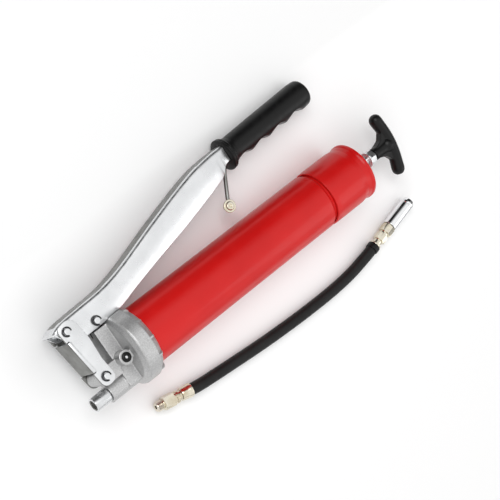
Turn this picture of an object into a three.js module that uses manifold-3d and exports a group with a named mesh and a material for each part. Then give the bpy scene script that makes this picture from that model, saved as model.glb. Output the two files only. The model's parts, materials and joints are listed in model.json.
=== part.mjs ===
// A lever grease gun lying on a bench, with its delivery hose beside it.
// Millimetres, +Z up. The gun is drawn in a frame of its own: +X runs back along the barrel from the
// collar's rear edge, +Y points at the lever and +Z is square to both. One group then lays it on the
// bench, so that it rests on its collar, on its rear rim and on the rear end of the grip.
// The hose is drawn where it lies on the bench.

import * as THREE from 'three';
import { mergeVertices } from 'three/addons/utils/BufferGeometryUtils.js';
import Module from 'manifold-3d';

const wasm = await Module();
wasm.setup();

// ---------------------------------------------------------------- driving dimensions

const GAP = 0.3;                    // clearance between pieces that touch

// barrel
const BARREL_R = 28.5;
const BARREL_WALL = 1.3;
const BARREL_END = 226.5;           // where the tube steps down into the rear cap
const CAP_START = 231.2;
const CAP_END = 284;
const CAP_R = 29.1;
const RIM_R = 29.5;                 // rolled bead at the cap's end
const SOCKET_DEPTH = 16.5;          // how far the tube screws into the head

// head casting
const COLLAR_R = 35.6;
const COLLAR_FRONT = -19.4;
const COLLAR_TAPER = -6;            // the collar tapers towards the barrel from here
const DISC_R = 29.8;                // flat front face of the collar
const DISC_X = -22;
const TOWER_FRONT = -35.6;
const TOWER_TOP = 30;
const TOWER_HALF = 9.4;             // half thickness across Z
const LUG_HALF = 12.4;
const BOSS_FRONT = -53.7;
const BOSS_R = 8.8;
const OUTLET_Y = -21.7;
const NOZZLE_TIP = -70.5;
const NOZZLE_R = 6.8;
const BLEED_Y = -2.4;
const BLEED_TOP = 21.5;
const BLEED_BOSS_R = 6.8;

// linkage: the link turns on the head, the lever on the link, and the lever lifts the plunger
const HEAD_PIVOT = new THREE.Vector2(-51.2, -5.8);
const LEVER_PIVOT = new THREE.Vector2(-58.1, 45.5);
const PLUNGER_PIVOT = new THREE.Vector2(-28.5, 37.2);
const PIN_R = 3;
const PLUNGER_R = 4.8;
const PLUNGER_TIP = -11.5;
const EYE_PLAY = 1.5;               // the plunger's eye is this much longer each way along X

// plates
const STEEL = 2.2;
const LINK_HALF = 15.2;
const LEVER_HALF = 12.6;

// lever outline, from the front end back along the spine and forward along the lower edge
const SPINE = [
  [-69.6, 50.6], [-64, 53.6], [-56, 55.2], [-38.6, 56.2], [-10.5, 57.5], [8.4, 60.4], [27.4, 65.1],
  [72.9, 78.5], [127.8, 92.5], [154.7, 95.9], [172, 96.4],
];
const LOWER_EDGE = [
  [172, 80], [165, 78.6], [156.5, 71.8], [146, 68.4], [96.5, 56], [57, 47.7], [18.5, 38.9], [3, 34.8],
];
const SEAT_Y = 33;                  // the lever's edge rests here, just clear of the collar's flats
const NARROWING = 138;              // behind this the channel narrows towards the grip
const NECK_HALF = 9.6;

// grip
const GRIP_FRONT = 172.6;
const GRIP_LENGTH = 112;
const GRIP_Y = 86.4;
const GRIP_SLOPE = 0.045;           // radians, rising to the rear
const FLANGE_R = 16.2;
const FLANGE_LENGTH = 5;
const GRIP_R = 13.4;
const GRIP_BOTTOM_R = 13.9;
const RIDGES = 4;
const FIRST_RIDGE = 29;
const RIDGE_PITCH = 23.6;
const SCALLOP_DEPTH = 4;
const TANG_R = 6.8;
const TANG_END = 92;

// catch rod
const CATCH_PIVOT = new THREE.Vector2(165.4, 84.2);
const CATCH_END = new THREE.Vector2(148.2, 45.6);
const CATCH_WIRE_R = 1.9;

// follower, rod and T-handle
const FOLLOWER_R = 25.7;
const FOLLOWER_FRONT = -13;
const ROD_R = 4;
const NUT_X = 305;
const HANDLE_START = 313.2;
const HANDLE_X = 339;               // middle of the cross bar
const HANDLE_BOW = 5.6;             // how far the bar's ends sweep forward
const HANDLE_HALF = 26.6;           // centre to the middle of each rounded end
const HANDLE_R = 6.6;
const HANDLE_TURN = THREE.MathUtils.degToRad(12);

// hose, lying on the bench from its threaded fitting to its grease coupler
const HOSE_R = 5.8;
const FITTING_TIP = new THREE.Vector3(-145, -105.9, 6.9);
const FITTING_HEADING = THREE.MathUtils.degToRad(-11.1);
const FERRULE_START = 27.3;         // from the fitting's tip
const FITTING_LENGTH = 39;
const COUPLER_START = new THREE.Vector3(142.4, -116.9, 7.4);
const COUPLER_HEADING = THREE.MathUtils.degToRad(13.1);
const ADAPTOR_LENGTH = 26.5;
const COUPLER_LENGTH = 62.5;
const COUPLER_FERRULE = 5.8;
const SLEEVE_R = 7.3;
const HOSE_ROUTE = [
  [-106.4, -113.5, 6.9], [-99, -114.9, 6.8], [-91, -116.1, 6.4], [-80, -117.4, 6.05],
  [-58, -119.6, 5.9], [-30, -122.2, 5.85], [-8, -123.9, 5.85], [11, -125, 5.85], [28, -125.8, 5.85],
  [46, -126.3, 5.85], [70, -126.5, 5.85], [92, -125.7, 5.9], [108, -124.1, 6.1], [120, -121.9, 6.5],
  [129, -120, 7.1], [136.4, -118.3, 7.35],
];

// ---------------------------------------------------------------- materials

const material = (color, roughness, metalness) =>
  new THREE.MeshStandardMaterial({ color, roughness, metalness, flatShading: true });

const redPaint = () => material(0xc8201c, 0.3, 0.1);
const castAlloy = () => material(0xb4b6b5, 0.55, 0.7);
const zincPlate = () => material(0xe2e3e4, 0.25, 0.85);
const chrome = () => material(0xd8dadc, 0.12, 0.95);
const machined = () => material(0xc9ccd2, 0.25, 0.9);
const darkSteel = () => material(0x4c4e52, 0.4, 0.85);
const springSteel = () => material(0x8d9094, 0.35, 0.9);
const yellowZinc = () => material(0xd9cfa6, 0.3, 0.85);
const blackPlastic = () => material(0x17181a, 0.5, 0);
const blackRubber = () => material(0x1b1b1c, 0.75, 0);
const nitrile = () => material(0x23201f, 0.7, 0);

// ---------------------------------------------------------------- geometry helpers

/** Merge vertices, drop collapsed triangles and make the faces point out. */
function closed(geometry) {
  const bare = new THREE.BufferGeometry();
  bare.setAttribute('position', geometry.getAttribute('position'));
  bare.setIndex(geometry.index);
  const merged = mergeVertices(bare, 1e-4);
  const at = merged.getAttribute('position');
  const index = merged.index.array;
  const [a, b, c] = [new THREE.Vector3(), new THREE.Vector3(), new THREE.Vector3()];
  const kept = [];
  let volume = 0;
  for (let i = 0; i < index.length; i += 3) {
    const [p, q, r] = [index[i], index[i + 1], index[i + 2]];
    if (p === q || q === r || r === p) continue;
    kept.push(p, q, r);
    a.fromBufferAttribute(at, p);
    b.fromBufferAttribute(at, q);
    c.fromBufferAttribute(at, r);
    volume += a.dot(b.cross(c));
  }
  if (volume < 0) kept.reverse();
  merged.setIndex(kept);
  return merged;
}

function toSolid(geometry) {
  const mesh = closed(geometry);
  return new wasm.Manifold(new wasm.Mesh({
    numProp: 3,
    vertProperties: new Float32Array(mesh.getAttribute('position').array),
    triVerts: new Uint32Array(mesh.index.array),
  }));
}

function fromSolid(solid) {
  const mesh = solid.getMesh();
  const geometry = new THREE.BufferGeometry();
  geometry.setAttribute('position', new THREE.BufferAttribute(mesh.vertProperties, 3));
  geometry.setIndex(new THREE.BufferAttribute(mesh.triVerts, 1));
  return geometry;
}

const join = (...pieces) => fromSolid(pieces.map(toSolid).reduce((sum, piece) => sum.add(piece)));
const cut = (base, ...tools) =>
  fromSolid(tools.map(toSolid).reduce((rest, tool) => rest.subtract(tool), toSolid(base)));
const common = (first, second) => fromSolid(toSolid(first).intersect(toSolid(second)));

/** A body turned about X. The outline is a list of [x, radius]; a ring's outline closes on itself. */
function turned(outline, sides) {
  const points = outline.map(([x, radius]) => new THREE.Vector2(radius, x));
  return new THREE.LatheGeometry(points, sides).rotateZ(-Math.PI / 2);
}

/** A ring turned about X, from its inner and outer radius. */
const ring = (x0, x1, inner, outer, sides) =>
  turned([[x0, inner], [x1, inner], [x1, outer], [x0, outer], [x0, inner]], sides);

const barX = (x0, x1, radius, sides = 20, y = 0, z = 0) =>
  new THREE.CylinderGeometry(radius, radius, x1 - x0, sides)
    .rotateZ(-Math.PI / 2)
    .translate((x0 + x1) / 2, y, z);

const barY = (y0, y1, radius, sides, x) =>
  new THREE.CylinderGeometry(radius, radius, y1 - y0, sides).translate(x, (y0 + y1) / 2, 0);

const barZ = (z0, z1, radius, sides, at) =>
  new THREE.CylinderGeometry(radius, radius, z1 - z0, sides)
    .rotateX(Math.PI / 2)
    .translate(at.x, at.y, (z0 + z1) / 2);

const block = (x0, x1, y0, y1, z0, z1) =>
  new THREE.BoxGeometry(x1 - x0, y1 - y0, z1 - z0)
    .translate((x0 + x1) / 2, (y0 + y1) / 2, (z0 + z1) / 2);

/** A flat shape in the XY plane, given thickness from z0 to z1. */
const slab = (shape, z0, z1, curveSegments = 8) =>
  new THREE.ExtrudeGeometry(shape, { depth: z1 - z0, bevelEnabled: false, curveSegments })
    .translate(0, 0, z0);

/** The area between the outlines of two circles and the tangents that join them. */
function strap(from, fromRadius, to, toRadius) {
  const along = Math.atan2(to.y - from.y, to.x - from.x);
  const lean = Math.acos((fromRadius - toRadius) / from.distanceTo(to));
  const shape = new THREE.Shape();
  shape.absarc(from.x, from.y, fromRadius, along + lean, along - lean + 2 * Math.PI, false);
  shape.absarc(to.x, to.y, toRadius, along - lean, along + lean, false);
  return shape;
}

const polygon = (points) => new THREE.Shape(points.map(([x, y]) => new THREE.Vector2(x, y)));

/** A round bar along a curve, flat at both ends. */
function swept(curve, radius, sides, steps) {
  const section = new THREE.Shape();
  for (let i = 0; i < sides; i += 1) {
    const angle = (2 * Math.PI * i) / sides;
    const [x, y] = [radius * Math.cos(angle), radius * Math.sin(angle)];
    if (i === 0) section.moveTo(x, y);
    else section.lineTo(x, y);
  }
  section.closePath();
  return new THREE.ExtrudeGeometry(section, { steps, extrudePath: curve, bevelEnabled: false });
}

/** A helix about X. */
class Helix extends THREE.Curve {
  constructor(x0, x1, radius, turns) {
    super();
    Object.assign(this, { x0, x1, radius, turns });
  }

  getPoint(t, target = new THREE.Vector3()) {
    const angle = 2 * Math.PI * this.turns * t;
    const x = this.x0 + (this.x1 - this.x0) * t;
    return target.set(x, this.radius * Math.cos(angle), this.radius * Math.sin(angle));
  }
}

/** A helical spring of square-section wire, coarse enough to stay light. */
function coil(x0, x1, radius, wire, turns) {
  const helix = new Helix(x0 + wire, x1 - wire, radius, turns);
  return swept(helix, wire, 4, turns * 8);
}

function add(group, name, geometry, finish) {
  const mesh = new THREE.Mesh(closed(geometry), finish);
  mesh.name = name;
  group.add(mesh);
  return mesh;
}

// ---------------------------------------------------------------- head

function headCasting() {
  const collar = turned([
    [DISC_X, 0], [DISC_X, DISC_R], [COLLAR_FRONT, COLLAR_R - 1.2], [COLLAR_FRONT + 1.6, COLLAR_R],
    [COLLAR_TAPER, COLLAR_R], [-2.4, 33.2], [0, 30.6], [0, BARREL_R + GAP],
    [-SOCKET_DEPTH, BARREL_R + GAP], [-SOCKET_DEPTH, 0],
  ], 32);

  const ribs = [];
  for (let i = 0; i < 12; i += 1) {
    const rib = block(COLLAR_TAPER - 1, -1.2, 31, COLLAR_R, -0.8, 0.8);
    ribs.push(rib.rotateX((2 * Math.PI * i) / 12));
  }
  const ribLimit = turned([
    [COLLAR_TAPER - 1, 0], [COLLAR_TAPER - 1, COLLAR_R - 0.1], [-3.4, COLLAR_R - 0.1],
    [-1.2, 33.4], [-1.2, 0],
  ], 32);

  const tower = slab(polygon([
    [DISC_X + 1, -27], [DISC_X + 1, TOWER_TOP], [TOWER_FRONT + 1.5, TOWER_TOP],
    [TOWER_FRONT, TOWER_TOP - 1.5], [TOWER_FRONT, -27],
  ]), -TOWER_HALF, TOWER_HALF);
  const lug = join(
    barZ(-LUG_HALF, LUG_HALF, 7.4, 24, HEAD_PIVOT),
    block(HEAD_PIVOT.x, -34, HEAD_PIVOT.y - 7.4, HEAD_PIVOT.y + 7, -LUG_HALF, LUG_HALF),
    block(HEAD_PIVOT.x, DISC_X + 1, OUTLET_Y, HEAD_PIVOT.y, -5, 5),
  );
  const boss = barX(BOSS_FRONT, DISC_X + 1, BOSS_R, 28, OUTLET_Y);
  const bleedBoss = barZ(0, BLEED_TOP, BLEED_BOSS_R, 28, new THREE.Vector2(PLUNGER_PIVOT.x, BLEED_Y));

  const leverSeat = block(-26, 2, SEAT_Y - 0.6, 40, -LEVER_HALF - 0.7, LEVER_HALF + 0.7);
  const pumpBore = barY(OUTLET_Y, TOWER_TOP + 1, PLUNGER_R + GAP, 20, PLUNGER_PIVOT.x);
  const sealSeat = barY(TOWER_TOP - 5, TOWER_TOP + 1, 7.2, 20, PLUNGER_PIVOT.x);
  const valveSeat = barX(PLUNGER_PIVOT.x - 6, PLUNGER_PIVOT.x, 2.4, 12, OUTLET_Y);
  const outletBore = barX(BOSS_FRONT - 1, PLUNGER_PIVOT.x - 5, 5.2, 20, OUTLET_Y);
  const inlet = barX(PLUNGER_PIVOT.x, 1 - SOCKET_DEPTH, 3, 12, 3);
  const pinHole = barZ(-20, 20, PIN_R + GAP, 16, HEAD_PIVOT);
  const bleedAt = new THREE.Vector2(PLUNGER_PIVOT.x, BLEED_Y);
  const bleedHole = barZ(10, BLEED_TOP + 1, 4.3, 20, bleedAt);
  const bleedPassage = barZ(0, 11, 1.4, 10, bleedAt);

  const body = join(collar, common(join(...ribs), ribLimit), tower, lug, boss, bleedBoss);
  return cut(body, leverSeat, pumpBore, sealSeat, valveSeat, outletBore, inlet, pinHole, bleedHole,
    bleedPassage);
}

/** The nozzle that the hose screws into: a threaded spigot, a shoulder and a bored barrel. */
function outletAdapter() {
  return turned([
    [BOSS_FRONT + 8, 2.2], [BOSS_FRONT + 8, 4.9], [BOSS_FRONT - GAP, 4.9],
    [BOSS_FRONT - GAP, NOZZLE_R], [NOZZLE_TIP + 0.9, NOZZLE_R], [NOZZLE_TIP, NOZZLE_R - 0.9],
    [NOZZLE_TIP, 4.7], [NOZZLE_TIP + 11, 4.7], [NOZZLE_TIP + 12.5, 2.2], [BOSS_FRONT + 8, 2.2],
  ], 20).translate(0, OUTLET_Y, 0);
}

function buildHead(gun) {
  add(gun, 'head_casting', headCasting(), castAlloy());
  add(gun, 'head_gasket', ring(-SOCKET_DEPTH + GAP, -SOCKET_DEPTH + 2, 20, 28, 24), nitrile());
  add(gun, 'outlet_adapter', outletAdapter(), machined());

  const seatX = PLUNGER_PIVOT.x - 6;
  const ball = new THREE.SphereGeometry(3.2, 14, 10).translate(seatX - 2.6, OUTLET_Y, 0);
  add(gun, 'check_ball', ball, chrome());
  const springFrom = BOSS_FRONT + 8.2;
  const springTo = seatX - 6.1;
  const checkSpring = coil(springFrom, springTo, 3, 0.45, 4).translate(0, OUTLET_Y, 0);
  add(gun, 'check_spring', checkSpring, springSteel());

  const seal = turned([
    [TOWER_TOP - 4.7, PLUNGER_R + GAP], [TOWER_TOP - 4.7, 6.9], [TOWER_TOP + 0.1, 6.9],
    [TOWER_TOP + 0.6, 6.4], [TOWER_TOP + 0.6, PLUNGER_R + GAP], [TOWER_TOP - 4.7, PLUNGER_R + GAP],
  ], 20).rotateZ(Math.PI / 2).translate(PLUNGER_PIVOT.x, 0, 0);
  add(gun, 'plunger_seal', seal, nitrile());
}

function buildBleedValve(gun) {
  const onAxis = (geometry) =>
    geometry.rotateY(-Math.PI / 2).translate(PLUNGER_PIVOT.x, BLEED_Y, 0);
  const body = turned([
    [10.3, 2.4], [10.3, 4], [BLEED_TOP - 1, 4], [BLEED_TOP + 0.4, 3.4], [BLEED_TOP + 0.4, 1.9],
    [BLEED_TOP - 2.4, 1.9], [BLEED_TOP - 2.4, 2.4], [10.3, 2.4],
  ], 16);
  const pin = turned([
    [13.3, 0], [13.3, 1], [17, 1], [17, 2.1], [BLEED_TOP - 2.8, 2.1], [BLEED_TOP - 2.8, 1.5],
    [BLEED_TOP + 0.2, 1.5], [BLEED_TOP + 0.9, 0.8], [BLEED_TOP + 0.9, 0],
  ], 12);
  add(gun, 'bleed_valve_body', onAxis(body), blackPlastic());
  add(gun, 'bleed_valve_pin', onAxis(pin), machined());
  add(gun, 'bleed_valve_spring', onAxis(coil(10.6, 16.8, 1.8, 0.25, 4)), springSteel());
}

// ---------------------------------------------------------------- linkage

function linkPlate() {
  const axis = LEVER_PIVOT.clone().sub(HEAD_PIVOT);
  const length = axis.length();
  const shape = new THREE.Shape();
  shape.absarc(0, 0, 7.7, Math.PI, 2 * Math.PI, false);
  shape.lineTo(8.2, 14);
  shape.lineTo(12, 34);
  shape.lineTo(12, length - 2);
  shape.quadraticCurveTo(11.4, length + 7.6, 2, length + 7.8);
  shape.quadraticCurveTo(-7, length + 7.8, -7, length + 1);
  shape.closePath();
  return { shape, length, lean: Math.atan2(-axis.x, axis.y) };
}

/** A U of sheet steel: two plates joined by a web along their front edges. */
function link() {
  const { shape, length, lean } = linkPlate();
  const holes = (z0, z1) => [new THREE.Vector2(0, 0), new THREE.Vector2(0, length)].map(
    (at) => barZ(z0, z1, PIN_R + GAP, 16, at),
  );
  const plates = join(
    slab(shape, LINK_HALF - STEEL, LINK_HALF),
    slab(shape, -LINK_HALF, STEEL - LINK_HALF),
    block(-7, -7 + STEEL, 9.5, 43.5, -LINK_HALF, LINK_HALF),
  );
  return cut(plates, ...holes(-20, 20)).rotateZ(lean).translate(HEAD_PIVOT.x, HEAD_PIVOT.y, 0);
}

/** A clevis pin: a head on the far side and a groove for its retaining ring on the near side. */
function clevisPin(at, half) {
  const near = half + 2.6;
  const body = turned([
    [-half - GAP - 1.5, 0], [-half - GAP - 1.5, 3.6], [-half - GAP - 0.8, 4.7],
    [-half - GAP, 4.7], [-half - GAP, PIN_R], [half + 0.5, PIN_R], [half + 0.5, 2.2],
    [half + 1.5, 2.2], [half + 1.5, PIN_R], [near - 0.7, PIN_R], [near, 2.2], [near, 0],
  ], 12);
  return body.rotateY(-Math.PI / 2).translate(at.x, at.y, 0);
}

/** An open retaining ring in the pin's groove. */
function retainingRing(at, half) {
  const shape = new THREE.Shape();
  const open = 0.7;
  shape.absarc(0, 0, 4.6, open, 2 * Math.PI - open, false);
  shape.absarc(0, 0, 2.4, 2 * Math.PI - open, open, true);
  shape.closePath();
  return slab(shape, half + 0.6, half + 1.3).rotateZ(-0.9).translate(at.x, at.y, 0);
}

function buildLinkage(gun) {
  add(gun, 'link', link(), zincPlate());
  const pins = [
    ['link_pin', HEAD_PIVOT, LINK_HALF],
    ['lever_pin', LEVER_PIVOT, LINK_HALF],
    ['plunger_pin', PLUNGER_PIVOT, LEVER_HALF],
  ];
  for (const [name, at, half] of pins) {
    add(gun, name, clevisPin(at, half), zincPlate());
    add(gun, `${name}_ring`, retainingRing(at, half), darkSteel());
  }
}

/** The pump plunger: a round rod under a flat eye. The eye's slot lets the pin drift along X. */
function plunger() {
  const eyeAt = new THREE.Vector2(PLUNGER_PIVOT.x, PLUNGER_PIVOT.y);
  const rod = barY(PLUNGER_TIP, eyeAt.y - 2, PLUNGER_R, 20, eyeAt.x);
  const left = eyeAt.clone().setX(eyeAt.x - EYE_PLAY);
  const right = eyeAt.clone().setX(eyeAt.x + EYE_PLAY);
  const eye = slab(strap(left, 6.2, right, 6.2), -4.6, 4.6, 6);
  const slot = slab(strap(left, PIN_R + 0.5, right, PIN_R + 0.5), -6, 6, 5);
  return cut(join(rod, eye), slot);
}

// ---------------------------------------------------------------- lever

/** The lever's side view. Lowering the spine by `inset` gives the hollow inside the channel. */
function leverSide(inset) {
  const shape = new THREE.Shape();
  const spine = SPINE.map(([x, y]) => new THREE.Vector2(x, y - inset));
  shape.moveTo(spine[0].x, spine[0].y);
  shape.splineThru(spine.slice(1));
  if (inset > 0) {
    shape.lineTo(SPINE[SPINE.length - 1][0], 20);
    shape.lineTo(-90, 20);
    shape.lineTo(-90, spine[0].y);
    return shape;
  }
  for (const [x, y] of LOWER_EDGE) shape.lineTo(x, y);
  shape.quadraticCurveTo(-2, SEAT_Y, -9, SEAT_Y);
  shape.lineTo(-42, SEAT_Y - 1.4);
  shape.quadraticCurveTo(-50, SEAT_Y - 1, -53.5, 37.4);
  shape.lineTo(-58.6, 38);
  shape.lineTo(-62.6, 40.6);
  return shape;
}

/** The lever's plan, a mirror-image strip that narrows towards the grip. */
function leverPlan(inset) {
  const wide = LEVER_HALF - inset;
  const narrow = NECK_HALF - inset;
  const [front, rear] = [-95, 180];
  const plan = polygon([
    [front, -wide], [NARROWING, -wide], [172, -narrow], [rear, -narrow],
    [rear, narrow], [172, narrow], [NARROWING, wide], [front, wide],
  ]);
  return slab(plan, 0, 130).rotateX(Math.PI / 2).translate(0, 130, 0);
}

/** Centre line of the grip: a frame with its origin at the flange's front face. */
const alongGrip = (geometry) => geometry.rotateZ(GRIP_SLOPE).translate(GRIP_FRONT, GRIP_Y, 0);

function lever() {
  const outer = common(slab(leverSide(0), -LEVER_HALF, LEVER_HALF, 3), leverPlan(0));
  const inner = common(slab(leverSide(STEEL), -LEVER_HALF, LEVER_HALF, 3), leverPlan(STEEL));
  const endPlate = block(170, 172, 80.6, 96, -NECK_HALF + 1, NECK_HALF - 1);
  const tang = alongGrip(barX(-1.6, TANG_END, TANG_R, 20));
  const channel = join(cut(outer, inner), endPlate, tang);
  const pinHoles = [LEVER_PIVOT, PLUNGER_PIVOT].map((at) => barZ(-20, 20, PIN_R + GAP, 16, at));
  const catchHole = barZ(-20, 20, 2.1, 12, CATCH_PIVOT);
  return cut(channel, ...pinHoles, catchHole);
}

/** A moulded grip: a round flange, and a round body scalloped for the fingers underneath. */
function grip() {
  const body = turned([
    [0, 0], [0, FLANGE_R - 1.4], [1.2, FLANGE_R], [FLANGE_LENGTH - 1, FLANGE_R],
    [FLANGE_LENGTH + 1, FLANGE_R - 2], [FLANGE_LENGTH + 6, GRIP_R - 0.4], [40, GRIP_R],
    [GRIP_LENGTH - 9, GRIP_BOTTOM_R], [GRIP_LENGTH - 3, GRIP_BOTTOM_R - 2.4],
    [GRIP_LENGTH, GRIP_BOTTOM_R - 7.5], [GRIP_LENGTH, 0],
  ], 28);
  const hollows = [];
  const radius = (RIDGE_PITCH ** 2 / 4 + SCALLOP_DEPTH ** 2) / (2 * SCALLOP_DEPTH);
  for (let i = 0; i < RIDGES; i += 1) {
    const middle = FIRST_RIDGE + RIDGE_PITCH * (i - 0.5);
    const centre = new THREE.Vector2(middle, SCALLOP_DEPTH - GRIP_R - radius);
    hollows.push(barZ(-20, 20, radius, 40, centre));
  }
  const bore = barX(-1, TANG_END + 1, TANG_R + GAP, 20);
  return alongGrip(cut(body, ...hollows, bore));
}

/** A wire with an eye at the top, where it hangs on its pin, and a flat eye for the button. */
function catchRod() {
  const top = new THREE.Vector3(CATCH_PIVOT.x + 1.4, CATCH_PIVOT.y - 3.4, 0);
  const bend = new THREE.Vector3(CATCH_PIVOT.x + 1.6, CATCH_PIVOT.y - 7.5, 0);
  const end = new THREE.Vector3(CATCH_END.x + 1.9, CATCH_END.y + 2.9, 0);
  const middle = bend.clone().lerp(end, 0.25);
  const wire = swept(new THREE.CatmullRomCurve3([top, bend, middle, end]), CATCH_WIRE_R, 8, 8);
  const eyes = join(
    barZ(-CATCH_WIRE_R, CATCH_WIRE_R, 4.2, 16, CATCH_PIVOT),
    barZ(-CATCH_WIRE_R, CATCH_WIRE_R, 4.4, 16, CATCH_END),
  );
  return cut(join(wire, eyes), barZ(-5, 5, 2.1, 12, CATCH_PIVOT), barZ(-5, 5, 2.6, 12, CATCH_END));
}

/** A stepped button riveted through the rod's lower eye. */
function catchButton() {
  return turned([
    [-4, 0], [-4, 3.6], [-2.2, 3.6], [-2.2, 2.3], [2.2, 2.3], [2.2, 6.4], [3.2, 6.4],
    [3.6, 5.6], [3.6, 4], [4.8, 3.4], [4.8, 1.6], [4, 1.2], [4, 0],
  ], 16).rotateY(-Math.PI / 2).translate(CATCH_END.x, CATCH_END.y, 0);
}

function buildLever(gun) {
  add(gun, 'plunger', plunger(), machined());
  add(gun, 'lever', lever(), zincPlate());
  add(gun, 'grip', grip(), blackPlastic());
  const catchPin = barZ(-NECK_HALF - 0.6, NECK_HALF + 0.6, 1.8, 12, CATCH_PIVOT);
  add(gun, 'catch_pin', catchPin, zincPlate());
  add(gun, 'catch_rod', catchRod(), zincPlate());
  add(gun, 'catch_button', catchButton(), yellowZinc());
}

// ---------------------------------------------------------------- barrel

function barrelTube() {
  const inside = BARREL_R - BARREL_WALL;
  const spigot = BARREL_R - 1.2;
  return turned([
    [-SOCKET_DEPTH + 2.4, inside], [-SOCKET_DEPTH + 2.4, BARREL_R], [BARREL_END, BARREL_R],
    [BARREL_END + 2, BARREL_R - 0.5], [BARREL_END + 3, spigot - 0.8], [CAP_START + 13, spigot - 0.8],
    [CAP_START + 13, inside - 1], [BARREL_END - 2, inside - 1], [BARREL_END - 4, inside],
    [-SOCKET_DEPTH + 2.4, inside],
  ], 32);
}

function rearCap() {
  const wall = 1.3;
  const inner = CAP_R - wall;
  return turned([
    [CAP_START, inner - 0.6], [CAP_START, CAP_R - 1.8], [CAP_START + 1.6, CAP_R - 0.2],
    [CAP_START + 4, CAP_R], [CAP_END - 14, CAP_R], [CAP_END - 8.5, CAP_R - 0.7],
    [CAP_END - 4.5, CAP_R - 0.2], [CAP_END - 2.6, RIM_R], [CAP_END - 1, RIM_R],
    [CAP_END, RIM_R - 0.9], [CAP_END, RIM_R - 2.4], [CAP_END - 3, RIM_R - 3],
    [CAP_END - 3, 7.8], [CAP_END - 4.4, 7.8], [CAP_END - 4.4, inner - 1.2],
    [CAP_END - 8.5, inner - 0.6], [CAP_END - 14, inner],
    [CAP_START + 3, inner], [CAP_START, inner - 0.6],
  ], 32);
}

/** A flanged bush in the cap's end that guides the rod. */
function rodGuide() {
  const [outside, inside] = [CAP_END - 2.7, CAP_END - 4.4];
  return turned([
    [inside - 5, ROD_R + GAP], [inside - 5, 7.4], [outside, 7.4], [outside, 10.5],
    [outside + 1.6, 10.5], [outside + 2.4, 9.6], [outside + 5.5, 7.4], [outside + 5.5, ROD_R + GAP],
    [inside - 5, ROD_R + GAP],
  ], 16);
}

function buildBarrel(gun) {
  add(gun, 'barrel_tube', barrelTube(), redPaint());
  add(gun, 'rear_cap', rearCap(), redPaint());
  add(gun, 'rod_guide', rodGuide(), zincPlate());
  const springEnd = CAP_END - 4.4 - GAP;
  add(gun, 'follower_spring', coil(1.2, springEnd, 19.5, 1.4, 11), springSteel());
}

function buildFollower(gun) {
  const front = FOLLOWER_FRONT;
  const cup = turned([
    [front + 2.3, 9], [front + 2.3, 24.4], [front - 0.6, FOLLOWER_R - 0.4],
    [front + 0.2, FOLLOWER_R], [front + 11, FOLLOWER_R], [front + 11, FOLLOWER_R - 1.6],
    [front + 4.6, FOLLOWER_R - 2], [front + 4.6, 9], [front + 2.3, 9],
  ], 24);
  const plate = turned([
    [front + 0.3, ROD_R + GAP], [front + 0.3, 17], [front + 2, 17], [front + 2, 8.7],
    [front + 4.9, 8.7], [front + 4.9, 22], [front + 6.4, 22], [front + 6.4, 9.5],
    [front + 13, 9.5], [front + 13, ROD_R + GAP], [front + 0.3, ROD_R + GAP],
  ], 16);
  add(gun, 'follower_cup', cup, nitrile());
  add(gun, 'follower_plate', plate, springSteel());
}

/** The rod: its collars hold the follower between them, so it pulls the follower and still turns. */
function followerRod() {
  const front = FOLLOWER_FRONT;
  return turned([
    [front - 2.5, 0], [front - 2.5, 5.4], [front - 1.9, 6.4], [front, 6.4], [front, ROD_R],
    [front + 13.3, ROD_R], [front + 13.3, 5.6], [front + 15.3, 5.6], [front + 15.3, ROD_R],
    [HANDLE_START + 12, ROD_R], [HANDLE_START + 12, 0],
  ], 16);
}

function rodNut() {
  const hex = new THREE.CylinderGeometry(7.4, 7.4, 6.4, 6).rotateZ(-Math.PI / 2)
    .translate(NUT_X + 3.2, 0, 0);
  const washer = barX(NUT_X - 1.8, NUT_X + 0.2, 8, 20);
  return cut(join(hex, washer), barX(NUT_X - 5, NUT_X + 20, ROD_R + GAP, 16));
}

/** A moulded T: a stem that flares into a cross bar with its ends swept towards the barrel. */
function tHandle() {
  const stem = turned([
    [HANDLE_START, 0], [HANDLE_START, 6.4], [HANDLE_START + 8, 6.2], [HANDLE_START + 14, 6.6],
    [HANDLE_START + 20, 8], [HANDLE_X - 2, 9.6], [HANDLE_X + 2, 9], [HANDLE_X + 5, 6], [HANDLE_X + 5, 0],
  ], 16);
  const ends = [-1, 1].map((side) => new THREE.Vector3(HANDLE_X - HANDLE_BOW, side * HANDLE_HALF, 0));
  const shoulders = [-1, 1].map((side) => new THREE.Vector3(HANDLE_X - 1.2, side * 12, 0));
  const middle = new THREE.Vector3(HANDLE_X, 0, 0);
  const path = new THREE.CatmullRomCurve3([ends[0], shoulders[0], middle, shoulders[1], ends[1]]);
  const cross = swept(path, HANDLE_R, 10, 10);
  const knobs = ends.map((at) =>
    new THREE.SphereGeometry(HANDLE_R + 0.2, 12, 8).translate(at.x, at.y, at.z));
  const bore = barX(HANDLE_START - 1, HANDLE_START + 12 + GAP, ROD_R + GAP, 16);
  return cut(join(stem, cross, ...knobs), bore).rotateX(HANDLE_TURN);
}

function buildRod(gun) {
  add(gun, 'follower_rod', followerRod(), zincPlate());
  add(gun, 'rod_nut', rodNut(), zincPlate());
  add(gun, 't_handle', tHandle(), blackPlastic());
}

// ---------------------------------------------------------------- the gun on the bench

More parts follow.
